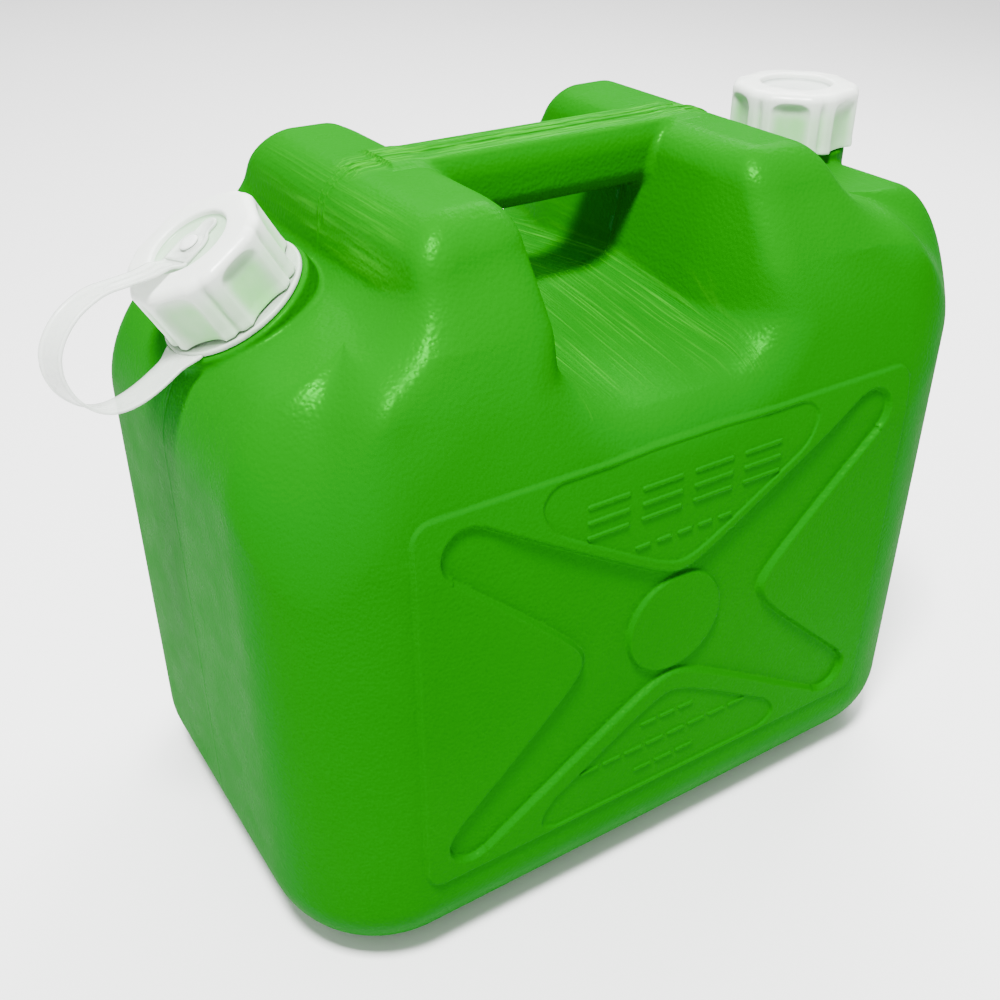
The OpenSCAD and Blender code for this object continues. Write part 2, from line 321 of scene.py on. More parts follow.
def panel_relief(x, z, y):
    """Height of the moulded panel on the front and back walls."""
    px, pz = x - PANEL_X * np.sign(-y), z - PANEL_Z
    u, v = np.abs(px), np.abs(pz)
    frame = rounded_rectangle(px, pz, PANEL_HALF, PANEL_HALF_HEIGHT, 9)
    relief = 1.5 * step(0.9, -0.9, frame)
    relief = relief - 2.8 * step(1.3, -1.3, cross_outline(u, v))
    relief = relief + 2.0 * step(1.0, -1.0, np.hypot(px, pz) - 25.5)
    above = label_outline(u, v, 5.5, 72, PANEL_HALF_HEIGHT - 2)
    below = label_outline(u, v, 11.0, 71, PANEL_HALF_HEIGHT - 2)
    label = np.where(pz > 0, above, below)
    relief = relief - 1.1 * step(0.7, -0.7, label)
    strokes = np.full(np.shape(relief), 9.0)
    for row in ((76, 0, 27, 4, 19), (69, 0, 27, 4, 19), (62, 0, 27, 4, 19), (48.5, 0, 11, 5, 6),
                (-52.5, 0, 11, 3, 7), (-66, 0, 12.5, 8, 8.5), (-79.5, 0, 12.5, 3, 8.5)):
        strokes = np.minimum(strokes, bar_row(px, pz, *row))
    return relief + 0.8 * step(1.3, 0.5, strokes)


def seam_relief(x, y, z):
    """Raised line where the two halves of the mould met, doubled along the handle."""
    single = (0.12 + 0.5 * step(240, 280, z)) * step(1.1, 0.2, np.abs(y))
    double = 0.8 * step(1.1, 0.4, np.abs(np.abs(y) - 2.4)) + 0.15 * step(2.6, 1.8, np.abs(y))
    on_top = step(300, 318, z)
    return single * (1 - on_top) + double * on_top


# ------------------------------------------------------------------ solid to mesh


def surface_net(distance, low, high, pitch):
    """Quads and points of a surface net round the zero level of a distance, on a grid of that pitch."""
    axes = [np.arange(lo, hi + pitch, pitch) for lo, hi in zip(low, high)]
    shape = [len(a) for a in axes]
    field = np.empty(shape, np.float32)
    for i, x in enumerate(axes[0]):
        field[i] = distance(np.full((shape[1], shape[2]), x), *np.meshgrid(axes[1], axes[2], indexing="ij"))
    inside = field < 0
    cells = [n - 1 for n in shape]
    corner = lambda a, i, j, k: a[i:i + cells[0], j:j + cells[1], k:k + cells[2]]
    offsets = [(i, j, k) for i in (0, 1) for j in (0, 1) for k in (0, 1)]
    count = sum(corner(inside, *o).astype(np.int8) for o in offsets)
    active = (count > 0) & (count < 8)
    index = np.full(cells, -1, np.int64)
    index[active] = np.arange(active.sum())
    cell = np.argwhere(active)
    total = np.zeros((len(cell), 3))
    hits = np.zeros(len(cell))
    for a in offsets:
        for axis in range(3):
            if a[axis]:
                continue
            b = tuple(v + (k == axis) for k, v in enumerate(a))
            fa, fb = field[tuple((cell + a).T)], field[tuple((cell + b).T)]
            cross = (fa < 0) != (fb < 0)
            t = np.where(cross, fa / np.where(cross, fa - fb, 1), 0)
            point = cell + np.array(a, float)
            point[:, axis] += t
            total += point * cross[:, None]
            hits += cross
    points = total / hits[:, None] * pitch + np.array([a[0] for a in axes])
    quads = []
    for axis in range(3):
        u, v = (axis + 1) % 3, (axis + 2) % 3
        a = np.take(inside, range(shape[axis] - 1), axis)
        b = np.take(inside, range(1, shape[axis]), axis)
        grid = np.argwhere(a != b)
        grid = grid[(grid[:, u] > 0) & (grid[:, v] > 0) & (grid[:, u] < cells[u]) & (grid[:, v] < cells[v])]
        out = a[tuple(grid.T)]
        ring = []
        for du, dv in ((1, 1), (0, 1), (0, 0), (1, 0)):
            q = grid.copy()
            q[:, u] -= du
            q[:, v] -= dv
            ring.append(index[tuple(q.T)])
        ring = np.stack(ring, 1)
        ring[~out] = ring[~out][:, ::-1]
        quads.append(ring)
    return points, np.concatenate(quads)


def gradient(distance, p, h=0.2):
    """Unit normals of a distance at points p."""
    g = np.empty_like(p)
    for axis in range(3):
        d = np.zeros(3)
        d[axis] = h
        g[:, axis] = distance(*(p + d).T) - distance(*(p - d).T)
    return g / np.maximum(np.linalg.norm(g, axis=1), 1e-9)[:, None]


def settle(distance, p, rounds=4):
    """Move points onto the zero level."""
    for _ in range(rounds):
        n = gradient(distance, p)
        p = p - n * distance(*p.T)[:, None] * 0.9
    return p


def refine(distance, points, tris, tolerance, passes):
    """Split every triangle that leaves the surface by more than the tolerance, keeping the mesh whole."""
    for _ in range(passes):
        sides = np.sort(np.concatenate([tris[:, [0, 1]], tris[:, [1, 2]], tris[:, [2, 0]]]), axis=1)
        edges, which = np.unique(sides, axis=0, return_inverse=True)
        which = which.reshape(3, -1).T
        a, b = points[edges[:, 0]], points[edges[:, 1]]
        error = np.max([np.abs(distance(*(a + (b - a) * t).T)) for t in (0.25, 0.5, 0.75)], axis=0)
        split = error > tolerance
        while True:
            marks = split[which]
            more = marks.sum(1) == 2
            if not more.any():
                break
            split[which[more].ravel()] = True
        middle = settle(distance, (a[split] + b[split]) / 2, 3)
        new = np.full(len(edges), -1)
        new[split] = len(points) + np.arange(split.sum())
        points = np.concatenate([points, middle])
        mid = new[which]
        count = (mid >= 0).sum(1)
        whole = tris[count == 0]
        t, m = tris[count == 3], mid[count == 3]
        four = np.concatenate([np.stack(q, 1) for q in (
            (t[:, 0], m[:, 0], m[:, 2]), (m[:, 0], t[:, 1], m[:, 1]),
            (m[:, 2], m[:, 1], t[:, 2]), (m[:, 0], m[:, 1], m[:, 2]))])
        t, m = tris[count == 1], mid[count == 1]
        k = np.argmax(m >= 0, axis=1)
        i = np.arange(len(t))
        p, q, r, c = t[i, k], t[i, (k + 1) % 3], t[i, (k + 2) % 3], m[i, k]
        two = np.concatenate([np.stack((p, c, r), 1), np.stack((c, q, r), 1)])
        tris = np.concatenate([whole, four, two])
    return points, tris


def triangles(points, quads):
    """Each quad cut along its shorter diagonal."""
    a = np.linalg.norm(points[quads[:, 0]] - points[quads[:, 2]], axis=1)
    b = np.linalg.norm(points[quads[:, 1]] - points[quads[:, 3]], axis=1)
    first = np.where((a <= b)[:, None], quads[:, [0, 1, 2]], quads[:, [0, 1, 3]])
    second = np.where((a <= b)[:, None], quads[:, [0, 2, 3]], quads[:, [1, 2, 3]])
    return np.concatenate([first, second])


def mesh_object(name, points, faces, material, normals=None):
    mesh = bpy.data.meshes.new(name)
    mesh.from_pydata((np.asarray(points) * MM).tolist(), [], [[int(i) for i in face] for face in faces])
    mesh.polygons.foreach_set("use_smooth", [True] * len(mesh.polygons))
    if normals is not None:
        mesh.normals_split_custom_set_from_vertices(np.asarray(normals).tolist())
    mesh.materials.append(material)
    piece = bpy.data.objects.new(name, mesh)
    bpy.context.scene.collection.objects.link(piece)
    return piece


# ------------------------------------------------------------------ materials


class Nodes:
    """Small helper that writes a node tree line by line."""

    def __init__(self, name):
        self.material = bpy.data.materials.new(name)
        self.material.use_nodes = True
        self.tree = self.material.node_tree
        self.shader = self.tree.nodes["Principled BSDF"]
        self.place = self.tree.nodes.new("ShaderNodeTexCoord").outputs["Object"]

    def put(self, socket, value):
        if isinstance(value, bpy.types.NodeSocket):
            self.tree.links.new(value, socket)
        elif value is not None:
            socket.default_value = value

    def noise(self, scale, detail=3.0, stretch=(1, 1, 1), roughness=0.5):
        mapping = self.tree.nodes.new("ShaderNodeMapping")
        mapping.inputs["Scale"].default_value = stretch
        self.put(mapping.inputs["Vector"], self.place)
        node = self.tree.nodes.new("ShaderNodeTexNoise")
        self.put(node.inputs["Vector"], mapping.outputs[0])
        node.inputs["Scale"].default_value = scale
        node.inputs["Detail"].default_value = detail
        node.inputs["Roughness"].default_value = roughness
        return node.outputs["Fac"]

    def grain(self, scale):
        node = self.tree.nodes.new("ShaderNodeTexVoronoi")
        node.feature = "SMOOTH_F1"
        self.put(node.inputs["Vector"], self.place)
        node.inputs["Scale"].default_value = scale
        return node.outputs["Distance"]

    def span(self, value, low, high, to_low=0.0, to_high=1.0):
        node = self.tree.nodes.new("ShaderNodeMapRange")
        node.interpolation_type = "SMOOTHSTEP"
        self.put(node.inputs["Value"], value)
        for key, number in (("From Min", low), ("From Max", high), ("To Min", to_low), ("To Max", to_high)):
            node.inputs[key].default_value = number
        return node.outputs["Result"]

    def maths(self, kind, a, b=None):
        node = self.tree.nodes.new("ShaderNodeMath")
        node.operation = kind
        self.put(node.inputs[0], a)
        self.put(node.inputs[1], b)
        return node.outputs[0]

    def parts(self):
        node = self.tree.nodes.new("ShaderNodeSeparateXYZ")
        self.put(node.inputs[0], self.place)
        return node.outputs

    def along(self, axis):
        """Object position measured along an axis, in metres."""
        node = self.tree.nodes.new("ShaderNodeVectorMath")
        node.operation = "DOT_PRODUCT"
        self.put(node.inputs[0], self.place)
        node.inputs[1].default_value = tuple(axis)
        return node.outputs["Value"]

    def from_axis(self, seat, axis):
        """Distance of the object position from an axis, in metres."""
        away = self.tree.nodes.new("ShaderNodeVectorMath")
        away.operation = "SUBTRACT"
        self.put(away.inputs[0], self.place)
        away.inputs[1].default_value = tuple(seat)
        cross = self.tree.nodes.new("ShaderNodeVectorMath")
        cross.operation = "CROSS_PRODUCT"
        self.put(cross.inputs[0], away.outputs[0])
        cross.inputs[1].default_value = tuple(axis)
        length = self.tree.nodes.new("ShaderNodeVectorMath")
        length.operation = "LENGTH"
        self.put(length.inputs[0], cross.outputs[0])
        return length.outputs["Value"]

    def blend(self, factor, a, b):
        node = self.tree.nodes.new("ShaderNodeMix")
        node.data_type = "RGBA"
        self.put(node.inputs["Factor"], factor)
        for key, colour in ((6, a), (7, b)):
            self.put(node.inputs[key], colour if isinstance(colour, bpy.types.NodeSocket) else (*colour, 1))
        return node.outputs[2]

    def bump(self, height, distance, strength=1.0, under=None):
        node = self.tree.nodes.new("ShaderNodeBump")
        node.inputs["Strength"].default_value = strength
        node.inputs["Distance"].default_value = distance * MM
        self.put(node.inputs["Height"], height)
        self.put(node.inputs["Normal"], under)
        return node.outputs["Normal"]

    def finish(self, colour, roughness, normal, **rest):
        self.put(self.shader.inputs["Base Color"], colour)
        self.put(self.shader.inputs["Roughness"], roughness)
        self.put(self.shader.inputs["Normal"], normal)
        for key, value in rest.items():
            self.shader.inputs[key.replace("_", " ")].default_value = value
        return self.material


def tank_plastic():
    """Green polyethylene: fine leather grain, with scoring on the handle, the recess and the ridge flanks.
    The upper part is painted lighter and the lower body darker, as painted light from above; the scoring is
    painted a lighter green, partly its own tone and partly painted sheen.
    """
    n = Nodes("green_polyethylene")
    x, y, z = n.parts()
    cloud = n.noise(9, 4)
    colour = n.blend(cloud, GREEN_LOW_SHADED_DEEP, GREEN_LOW_SHADED_BRIGHT)
    # painted light: shoulders, ridges and handle painted lighter than the lower body, as if lit from above
    colour = n.blend(n.span(z, 0.22, 0.31), colour, n.blend(cloud, GREEN_LIT_TOP_DEEP, GREEN_LIT_TOP))
    high = n.span(z, 0.244, 0.254)
    side = n.span(n.maths("ABSOLUTE", x), 0.048, 0.036)
    low = n.span(z, 0.279, 0.273)
    across = n.maths("MULTIPLY", n.maths("MULTIPLY", side, low), high)
    outer = n.maths("MULTIPLY", n.span(n.maths("ABSOLUTE", x), 0.086, 0.1), n.span(z, 0.292, 0.302))
    outer = n.maths("MULTIPLY", outer, n.span(n.maths("ABSOLUTE", y), 0.075, 0.045))
    across = n.maths("MAXIMUM", across, n.maths("MULTIPLY", outer, 0.5))
    middle = n.span(n.maths("ABSOLUTE", y), 0.014, 0.006)
    handle = n.maths("MULTIPLY", n.span(z, 0.322, 0.3255), middle)
    scored = n.noise(850, 3, (1, 0.012, 0.06), 0.65)
    dragged = n.noise(900, 2, (0.05, 1, 1), 0.7)
    roughness = n.span(n.noise(55, 5), 0.25, 0.75, 0.24, 0.36)
    roughness = n.maths("ADD", roughness, n.maths("MULTIPLY", across, 0.16))
    # handle scoring painted lighter green: real scoring marks carrying painted sheen
    colour = n.blend(n.maths("MULTIPLY", n.span(dragged, 0.45, 0.65), n.maths("MULTIPLY", handle, 0.5)),
                     colour, GREEN_SCORE_AND_SHEEN)
    normal = n.bump(n.grain(620), 0.25, 0.7)
    normal = n.bump(n.noise(70, 3), 0.1, 0.1, normal)
    # recess and ridge-flank striations painted lighter green: real striations carrying painted sheen of the
    # key light
    colour = n.blend(n.maths("MULTIPLY", n.span(scored, 0.5, 0.75), n.maths("MULTIPLY", across, 0.6)),
                     colour, GREEN_SCORE_AND_SHEEN)
    normal = n.bump(n.maths("MULTIPLY", scored, across), 1.0, 1.0, normal)
    normal = n.bump(n.maths("MULTIPLY", dragged, handle), 0.6, 0.9, normal)
    return n.finish(colour, roughness, normal, Specular_IOR_Level=SHINE, Metallic=GLINT)


def cap_plastic(name, seat, axis, rise, top_colour):
    """Milky polyethylene with painted green light and painted shade in its lower part, strongest in the
    finger hollows, for the green of the neck and tank seen through the wall and reflected into the hollows.
    """
    n = Nodes(name)
    level = n.along(axis)
    foot = (float(np.dot(seat, axis)) + rise) * MM
    lower = n.span(level, foot + 0.0245, foot + 0.014)
    hollow = n.span(n.from_axis(np.array(seat) * MM, axis), 0.0298, 0.0265, 0.4, 1.0)
    # painted green light and painted shade: lower part of the cap, strongest in the hollows, weaker on the
    # ribs
    bounce_and_shade = n.maths("MULTIPLY", n.maths("MULTIPLY", lower, hollow), n.span(n.noise(45, 3), 0.2, 0.8, 0.6, 1.0))
    colour = n.blend(bounce_and_shade, top_colour, MILK_GREEN_BOUNCE_AND_SHADE)
    roughness = n.span(n.noise(160, 4), 0.3, 0.7, 0.3, 0.44)
    normal = n.bump(n.grain(900), 0.08, 0.5)
    normal = n.bump(n.noise(120, 3), 0.25, 0.3, normal)
    return n.finish(colour, roughness, normal, Subsurface_Weight=0.6, Subsurface_Scale=0.004,
                    Subsurface_Radius=(1.0, 1.0, 1.0))


def clear_plastic(name, colour_low, colour_high, through):
    """Thin moulding in natural polyethylene, see-through where it is thin."""
    n = Nodes(name)
    colour = n.blend(n.noise(60, 4), colour_low, colour_high)
    roughness = n.span(n.noise(220, 4), 0.3, 0.7, 0.22, 0.36)
    normal = n.bump(n.noise(160, 3), 0.2, 0.35)
    return n.finish(colour, roughness, normal, Alpha=through)


def gasket_rubber():
    n = Nodes("gasket_rubber")
    colour = n.blend(n.noise(300, 4), (0.012, 0.012, 0.012), (0.03, 0.03, 0.03))
    return n.finish(colour, n.span(n.noise(500, 4), 0.3, 0.7, 0.55, 0.75), n.bump(n.grain(1400), 0.05, 0.5))


green = tank_plastic()
pour_white = cap_plastic("pour_cap_milky_polyethylene", POUR_SEAT, POUR_AXIS, POUR_RISE, MILK)
fill_white = cap_plastic("fill_cap_milky_polyethylene", FILL_SEAT, FILL_AXIS, FILL_RISE, MILK)
thin_white = cap_plastic("cap_dish_thin_polyethylene", FILL_SEAT, FILL_AXIS, FILL_RISE, MILK_THIN)
strap_clear = clear_plastic("tether_natural_polyethylene", (0.66, 0.73, 0.66), (0.76, 0.8, 0.75), 0.6)
ring_clear = clear_plastic("ring_natural_polyethylene", (0.6, 0.74, 0.6), (0.72, 0.8, 0.7), 0.6)
rubber = gasket_rubber()

# ------------------------------------------------------------------ tank

net_low = (-HALF_LENGTH - 6, -HALF_DEPTH - 6, -6)
net_high = (HALF_LENGTH + 6, HALF_DEPTH + 6, HANDLE_TOP + 8)
points, quads = surface_net(tank_distance, net_low, net_high, 3.0)
points = settle(tank_distance, points)
points, tris = refine(tank_distance, points, triangles(points, quads), 0.06, 3)
tank = mesh_object("tank", points, tris, green, gradient(tank_distance, points, 0.12))
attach(tank, "tank")
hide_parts("tank_shell")

# ------------------------------------------------------------------ caps


def place(points, seat, axis, cross, rise=0.0, turn=0.0):
    """Local points (across, round, up) on a neck's seat into the frame."""
    c, s = math.cos(turn), math.sin(turn)
    p = np.asarray(points, float)
    side = np.cross(axis, cross)
    u = p[:, 0] * c - p[:, 1] * s
    v = p[:, 0] * s + p[:, 1] * c
    return np.array(seat) + u[:, None] * cross + v[:, None] * side + (p[:, 2] + rise)[:, None] * axis


def cap_outer(turn, h):
    """Outside radius of a cap: six arch-topped hollows for the fingers, a doubled rib between each two."""
    k = np.round((turn - math.radians(42.5)) / (math.pi / 3))
    arc = (turn - math.radians(42.5) - k * math.pi / 3) * CAP_RADIUS
    above = np.maximum(h - (CAP_HEIGHT - 3.4 - HOLLOW_ARCH), 0)
    e = (np.abs(arc) / HOLLOW_HALF) ** 2.6 + (above / HOLLOW_ARCH) ** 2.6
    lobe = np.maximum(1 - (np.abs(arc) / HOLLOW_HALF) ** 2, 0)
    sunk = np.maximum(HOLLOW_DEPTH * np.maximum(1 - e, 0) ** 0.85, 1.5 * lobe)
    k = np.round((turn - math.radians(12.5)) / (math.pi / 3))
    arc = (turn - math.radians(12.5) - k * math.pi / 3) * CAP_RADIUS
    notch = np.exp(-(arc / 1.5) ** 2) * (0.5 + 1.1 * step(CAP_HEIGHT - 3, CAP_HEIGHT - 10, h))
    return CAP_RADIUS - sunk - notch + 0.35 * step(5, 0, h)


def cap_points(turns):
    """Rings of one cap from the middle of its ceiling, down the skirt and up to the middle of the dish."""
    inside = [(PLUG - 2, CAP_CEILING - 1.2), (PLUG - 2, 21.9), (PLUG - 1.6, 21.5), (PLUG - 0.4, 21.5),
              (PLUG, 21.9), (PLUG, CAP_CEILING), (SKIRT_INSIDE - 0.5, CAP_CEILING),
              (SKIRT_INSIDE, CAP_CEILING - 0.5)]
    for i in range(1, 25):
        h = CAP_CEILING - 0.5 - (CAP_CEILING - 1.1) * i / 24
        inside.append((SKIRT_INSIDE, h))
    rings = [(np.full_like(turns, r), np.full_like(turns, h)) for r, h in inside]
    rings.append((np.full_like(turns, SKIRT_INSIDE + 0.5), np.full_like(turns, 0.0)))
    rings.append((cap_outer(turns, 0) - 0.7, np.full_like(turns, 0.0)))
    rings.append((cap_outer(turns, 0) - 0.2, np.full_like(turns, 0.2)))
    for h in np.linspace(0.7, CAP_HEIGHT - TOP_ROUNDING, 48):
        rings.append((cap_outer(turns, h), np.full_like(turns, h)))
    for i in range(1, 13):
        a = math.pi / 2 * i / 12
        h = CAP_HEIGHT - TOP_ROUNDING + (TOP_ROUNDING - 0.35) * math.sin(a)
        rings.append((cap_outer(turns, h) - TOP_ROUNDING * (1 - math.cos(a)), np.full_like(turns, h)))
    for t in (0.25, 0.5, 0.75):
        r = CAP_RADIUS - TOP_ROUNDING + (DISH_RADIUS + 1.4 - CAP_RADIUS + TOP_ROUNDING) * t
        h = CAP_HEIGHT - 0.35 + 0.35 * math.sin(t * math.pi / 2)
        rings.append((np.full_like(turns, r), np.full_like(turns, h)))
    for i in range(0, 7):
        a = math.pi / 2 * i / 6
        rings.append((np.full_like(turns, DISH_RADIUS + 1.2 * (1 - math.sin(a))),
                      np.full_like(turns, CAP_HEIGHT - 1.2 * (1 - math.cos(a)))))
    for i in range(0, 7):
        a = math.pi / 2 * i / 6
        rings.append((np.full_like(turns, DISH_RADIUS - 0.3 - 0.9 * (1 - math.cos(a))),
                      np.full_like(turns, DISH_FLOOR + 0.9 * (1 - math.sin(a)))))
    rings.append((np.full_like(turns, 9.0), np.full_like(turns, DISH_FLOOR)))
    return rings


def spun(name, rings, turns, top, bottom, material, to_frame):
    """Closed mesh from rings of points, closed by a point at either end."""
    n = len(turns)
    c, s = np.cos(turns), np.sin(turns)
    points = [np.array([[0, 0, bottom]])]
    points += [np.stack([r * c, r * s, h], 1) for r, h in rings]
    points.append(np.array([[0, 0, top]]))
    faces = []
    for j in range(n):
        k = (j + 1) % n
        faces.append((0, 1 + j, 1 + k))
        for i in range(len(rings) - 1):
            a, b = 1 + i * n, 1 + (i + 1) * n
            faces.append((a + j, b + j, b + k, a + k))
        a = 1 + (len(rings) - 1) * n
        faces.append((a + j, a + n, a + k))
    piece = mesh_object(name, to_frame(np.concatenate(points)), faces, material)
    local = np.concatenate(points)
    if name.endswith("cap_moulding"):
        dish = (np.hypot(local[:, 0], local[:, 1]) < DISH_RADIUS - 0.2) & (local[:, 2] > DISH_FLOOR - 0.1)
        piece.data.materials.append(thin_white)
        for face, polygon in zip(faces, piece.data.polygons):
            polygon.material_index = int(all(dish[list(face)]))
    outward(piece)
    return piece


def outward(piece):
    """Faces turned the same way round, outwards."""
    bm = bmesh.new()
    bm.from_mesh(piece.data)
    bmesh.ops.recalc_face_normals(bm, faces=bm.faces)
    bm.to_mesh(piece.data)
    bm.free()


turns = np.arange(288) * (2 * math.pi / 288)


def neck_rings(rise):
    """Rings of a threaded neck: up the outside, over the rim and down the blind bore."""
    turned = (turns + math.pi) % (2 * math.pi) / (2 * math.pi) - 0.5
    rings = [(np.full_like(turns, NECK), np.full_like(turns, 2 - WELL_DEPTH))]
    for h in np.arange(0, rise + NECK_TOP - 0.6, 0.35):
        climb = h - rise - 9
        along = np.clip(np.round(climb / PITCH - turned), 0, 1) + turned
        ends = step(-0.02, 0.06, along) * step(1.5, 1.42, along)
        crest = THREAD * ends * step(1.6, 0.6, np.abs(climb - PITCH * along))
        rings.append((NECK + crest, np.full_like(turns, h)))
    top = rise + NECK_TOP
    for r, h in ((NECK, top - 0.6), (NECK - 0.2, top - 0.2), (NECK - 0.6, top), (BORE + 0.6, top),
                 (BORE + 0.2, top - 0.2), (BORE, top - 0.6), (BORE, 3 - WELL_DEPTH)):
        rings.append((np.full_like(turns, r), np.full_like(turns, h)))
    return rings


def neck(name, node, seat, axis, cross, rise):
    piece = spun(name, neck_rings(rise), turns, 3 - WELL_DEPTH, 2 - WELL_DEPTH, green,
                 lambda p: place(p, seat, axis, cross))
    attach(piece, "tank")
    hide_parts(node)


neck("pour_neck_moulding", "pour_neck", POUR_SEAT, POUR_AXIS, POUR_CROSS, POUR_RISE)
neck("fill_neck_moulding", "fill_neck", FILL_SEAT, FILL_AXIS, FILL_CROSS, FILL_RISE)

cap_rings = cap_points(turns)
pour_cap = spun("pour_cap_moulding", cap_rings, turns, DISH_FLOOR, CAP_CEILING - 1.2, pour_white,
                lambda p: place(p, POUR_SEAT, POUR_AXIS, POUR_CROSS, POUR_RISE))
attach(pour_cap, "pouring_cap")
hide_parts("pour_cap")
fill_cap = spun("fill_cap_moulding", cap_rings, turns, DISH_FLOOR, CAP_CEILING - 1.2, fill_white,
                lambda p: place(p, FILL_SEAT, FILL_AXIS, FILL_CROSS, FILL_RISE))
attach(fill_cap, "filling_cap")
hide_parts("fill_cap")

# stud in the dish: a shallow dome with a small collar under it
stud_profile = ((2.6, 0.0), (2.6, 1.5), (2.9, 1.8), (3.8, 1.8), (4.0, 2.0), (4.0, 2.3), (3.7, 2.6),
                (2.6, 2.75), (1.2, 2.8))
stud_rings = []
for r, h in stud_profile:
    stud_rings.append((np.full(48, r), np.full(48, h)))
stud = spun("cap_stud_head", stud_rings, np.arange(48) * (2 * math.pi / 48), 2.8, 0.0, pour_white,
            lambda p: place(p, POUR_SEAT, POUR_AXIS, POUR_CROSS, POUR_RISE + DISH_FLOOR))
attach(stud, "pouring_cap")
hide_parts("cap_stud")

# ------------------------------------------------------------------ tether


def on_tether(points):
    return place(points, POUR_SEAT, POUR_AXIS, POUR_CROSS, 0.0, STRAP_TURN)


def ring_profile(r_in, r_out, low, high, soft):
    """Cross-section of a flat ring with softened edges."""
    return [(r_in, low + soft), (r_in + soft, low), (r_out - soft, low), (r_out, low + soft),
            (r_out, high - soft), (r_out - soft, high), (r_out - 3 * soft, high),
            (r_out - 3.8 * soft, high - 0.3),
            (r_in + soft, high - 0.3), (r_in, high - soft - 0.3)]


def tether_ring():
    n = 144
    profile = ring_profile(RING_INSIDE, RING_OUTSIDE, RING_LEVEL - 1, RING_LEVEL + 1, 0.4)
    points = []
    for r, h in profile:
        for j in range(n):
            a = 2 * math.pi * j / n
            points.append((r * math.cos(a), r * math.sin(a), h))
    faces = []
    m = len(profile)
    for i in range(m):
        for j in range(n):
            k = (j + 1) % n
            l = (i + 1) % m
            faces.append((i * n + j, i * n + k, l * n + k, l * n + j))
    piece = mesh_object("tether_ring_moulding", on_tether(points), faces, ring_clear)
    outward(piece)
    return piece


ring = tether_ring()
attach(ring, "tether_loop")
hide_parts("tether_ring")

# middle line of the strap: outboard distance, and height above the neck's seat
STRAP_ROUTE = [
    (STRAP_START, STRAP_LEVEL), (10.2, STRAP_LEVEL), (11.6, STRAP_LEVEL + 0.9), (13.4, 33.2), (15.2, 34.5),
    (18, 35.5), (22, 37), (27, 39.4), (32.3, 42.2), (39, 45.6), (45.5, 47.2), (52.5, 47.7), (59.2, 46.6),
    (64.8, 44.3), (69.1, 40.9), (72.5, 35.4), (73.9, 28.3), (72.9, 21.6), (70.4, 16), (66, 11.4), (58.8, 7.6),
    (49.5, 5.2), (39.5, 4), (33, RING_LEVEL), (RING_OUTSIDE + 0.35, RING_LEVEL)]


def smooth_route(route, pitch):
    """The route as an even row of points, rounded through its corners."""
    p = np.array(route, float)
    fine = []
    for i in range(len(p) - 1):
        a, b, c, d = p[max(i - 1, 0)], p[i], p[i + 1], p[min(i + 2, len(p) - 1)]
        for t in np.linspace(0, 1, 12, endpoint=False):
            fine.append(0.5 * (2 * b + (c - a) * t + (2 * a - 5 * b + 4 * c - d) * t * t
                               + (3 * b - a - 3 * c + d) * t ** 3))
    fine.append(p[-1])
    fine = np.array(fine)
    run = np.concatenate([[0], np.cumsum(np.linalg.norm(np.diff(fine, axis=0), axis=1))])
    at = np.linspace(0, run[-1], int(run[-1] / pitch) + 1)
    return np.stack([np.interp(at, run, fine[:, k]) for k in (0, 1)], 1), at


def strap_section(across, run, length):
    """Lower and upper height of the strap about its middle line, with edge rims and two short ribs."""
    half = STRAP_THICK / 2
    web = 0.32
    rim = step(STRAP_WIDTH / 2 - 2.2, STRAP_WIDTH / 2 - 1.5, np.abs(across))
    from_ring = length - run
    near_cap = step(1.0, 3.0, run) * step(30, 27, run)
    near_ring = step(2.0, 4.0, from_ring) * step(15, 12, from_ring)
    rib = step(1.5, 0.8, np.abs(across)) * np.maximum(near_cap, near_ring)
    raised = np.maximum(rim, rib)
    return -half, -half + web * 2 + (2 * half - 2 * web) * raised


def tether_strap():
    route, run = smooth_route(STRAP_ROUTE, 0.8)
    ahead = np.gradient(route, axis=0)
    ahead /= np.linalg.norm(ahead, axis=1)[:, None]
    up = np.stack([-ahead[:, 1], ahead[:, 0]], 1)
    half = STRAP_WIDTH / 2
    inner = np.linspace(-half + 1.2, half - 1.2, 35)
    edges = [-half, -half + 0.25, -6.6, -6.1, 6.1, 6.6, half - 0.25, half]
    across = np.sort(np.unique(np.concatenate([edges, inner])))
    flare = 1 + 0.5 * step(9, 0, run[-1] - run) ** 2
    m = len(across)
    points = []
    for i in range(len(route)):
        low, high = strap_section(across, run[i], run[-1])
        edge = np.abs(across) > half - 0.1
        top = np.where(edge, high - 0.3, high)
        bottom = np.where(edge, low + 0.3, low)
        for heights in (top, bottom[::-1]):
            side = across if heights is top else across[::-1]
            for v, h in zip(side, heights):
                q = route[i] + up[i] * h
                points.append((q[0], v * flare[i], q[1]))
    n = 2 * m
    faces = []
    for i in range(len(route) - 1):
        for j in range(n):
            k = (j + 1) % n
            faces.append((i * n + j, i * n + k, (i + 1) * n + k, (i + 1) * n + j))
    for base in (0, (len(route) - 1) * n):
        for j in range(m - 1):
            faces.append((base + j, base + j + 1, base + n - 2 - j, base + n - 1 - j))
    points = np.array(points)
    # the lower end follows the round of the ring
    round_end = np.sqrt((RING_OUTSIDE + 0.35) ** 2 - points[:, 1] ** 2)
    points[:, 0] += (round_end - RING_OUTSIDE - 0.35) * np.repeat(step(12, 0, run[-1] - run), n)
    piece = mesh_object("tether_strap_moulding", on_tether(points), faces, strap_clear)
    outward(piece)
    return piece


strap = tether_strap()
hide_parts("tether_strap")
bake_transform(strap)


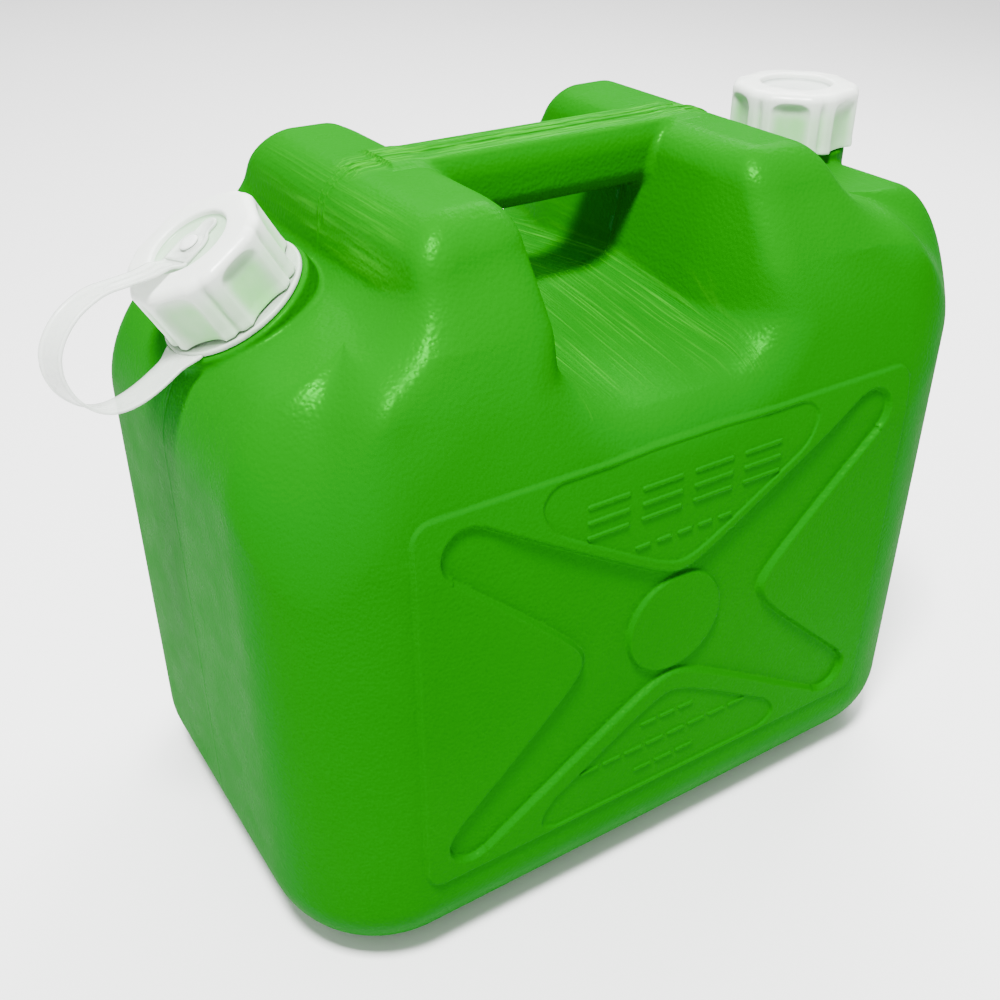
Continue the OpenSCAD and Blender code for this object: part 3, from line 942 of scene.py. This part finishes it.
def eyelet():
    """Round eye with a finger tab on its inner side, holed for the stud."""
    half = [(STRAP_START - 0.3, 8.0), (0, 8.0)]
    half += [(8 * math.cos(a), 8 * math.sin(a)) for a in np.linspace(0.5 * math.pi, 0.82 * math.pi, 14)[1:]]
    half += [(-8.6, 3.7)]
    half += [(-10.5 + 4 * math.cos(a), 4 * math.sin(a)) for a in np.linspace(0.55 * math.pi, math.pi, 14)]
    ring_out = half + [(x, -y) for x, y in half[-2::-1]]
    outer = np.array(ring_out)
    # the hole takes a point for every point of the outline
    angle = np.unwrap(np.arctan2(outer[:, 1], outer[:, 0]))
    hole = np.stack([2.9 * np.cos(angle), 2.9 * np.sin(angle)], 1)
    n = len(outer)
    base = STRAP_LEVEL - STRAP_THICK / 2
    soft = 0.3
    loops = []
    for t, h in ((soft, 0.0), (0.0, soft), (0.0, STRAP_THICK - soft), (soft, STRAP_THICK), (1.5, STRAP_THICK),
                 (1.9, STRAP_THICK - 0.45)):
        reach = np.linalg.norm(outer, axis=1)[:, None]
        loops.append(np.column_stack([outer * (1 - t / reach), np.full(n, base + h)]))
    for r, h in ((5.2, STRAP_THICK - 0.45), (4.9, STRAP_THICK), (2.9, STRAP_THICK), (2.9, 0.0)):
        loops.append(np.column_stack([hole * (r / 2.9), np.full(n, base + h)]))
    faces = []
    m = len(loops)
    for i in range(m):
        l = (i + 1) % m
        for j in range(n):
            k = (j + 1) % n
            faces.append((i * n + j, i * n + k, l * n + k, l * n + j))
    piece = mesh_object("tether_eyelet_moulding", on_tether(np.concatenate(loops)), faces, strap_clear)
    outward(piece)
    return piece


eye = eyelet()
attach(eye, "cap_eyelet")
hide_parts("tether_eyelet")

for name, node in frame["nodes"].items():
    if "gasket" in name:
        node.data.materials.clear()
        node.data.materials.append(rubber)

# ------------------------------------------------------------------ camera, floor and light


def camera():
    data = bpy.data.cameras.new("camera")
    data.sensor_width = 36
    data.lens = LENS
    cam = bpy.data.objects.new("camera", data)
    level = math.cos(CAMERA_ELEVATION)
    back = Vector((math.sin(CAMERA_AZIMUTH) * level, -math.cos(CAMERA_AZIMUTH) * level,
                   math.sin(CAMERA_ELEVATION)))
    cam.location = CAMERA_TARGET + back * CAMERA_DISTANCE
    cam.rotation_mode = "QUATERNION"
    cam.rotation_quaternion = (-back).to_track_quat("-Z", "Y")
    bpy.context.scene.collection.objects.link(cam)
    bpy.context.scene.camera = cam


def floor():
    bpy.ops.mesh.primitive_plane_add(size=6, location=(0, 0, 0))
    o = bpy.context.object
    o.name = "floor"
    n = Nodes("floor_white")
    colour = n.blend(n.noise(3, 2), (0.93, 0.93, 0.93), (0.95, 0.95, 0.95))
    o.data.materials.append(n.finish(colour, 0.9, None, Specular_IOR_Level=0.1))


def area_light(name, location, target, size, power):
    data = bpy.data.lights.new(name, "AREA")
    data.shape = "RECTANGLE"
    data.size, data.size_y = size
    data.energy = power
    o = bpy.data.objects.new(name, data)
    o.location = location
    o.rotation_mode = "QUATERNION"
    o.rotation_quaternion = (Vector(target) - Vector(location)).to_track_quat("-Z", "Y")
    bpy.context.scene.collection.objects.link(o)


camera()
floor()
world = bpy.data.worlds.new("studio")
bpy.context.scene.world = world
world.use_nodes = True
world.node_tree.nodes["Background"].inputs["Color"].default_value = (1, 1, 1, 1)
world.node_tree.nodes["Background"].inputs["Strength"].default_value = 0.8
area_light("key", (-0.45, -0.45, 1.7), (0, 0, 0.2), (0.3, 0.3), 104)
area_light("backdrop", (0.7, 1.7, 1.9), (0.5, 1.4, 0), (2.0, 1.2), 55)
area_light("back", (0.9, 0.6, 1.3), (0, 0, 0.2), (0.9, 0.9), 30)
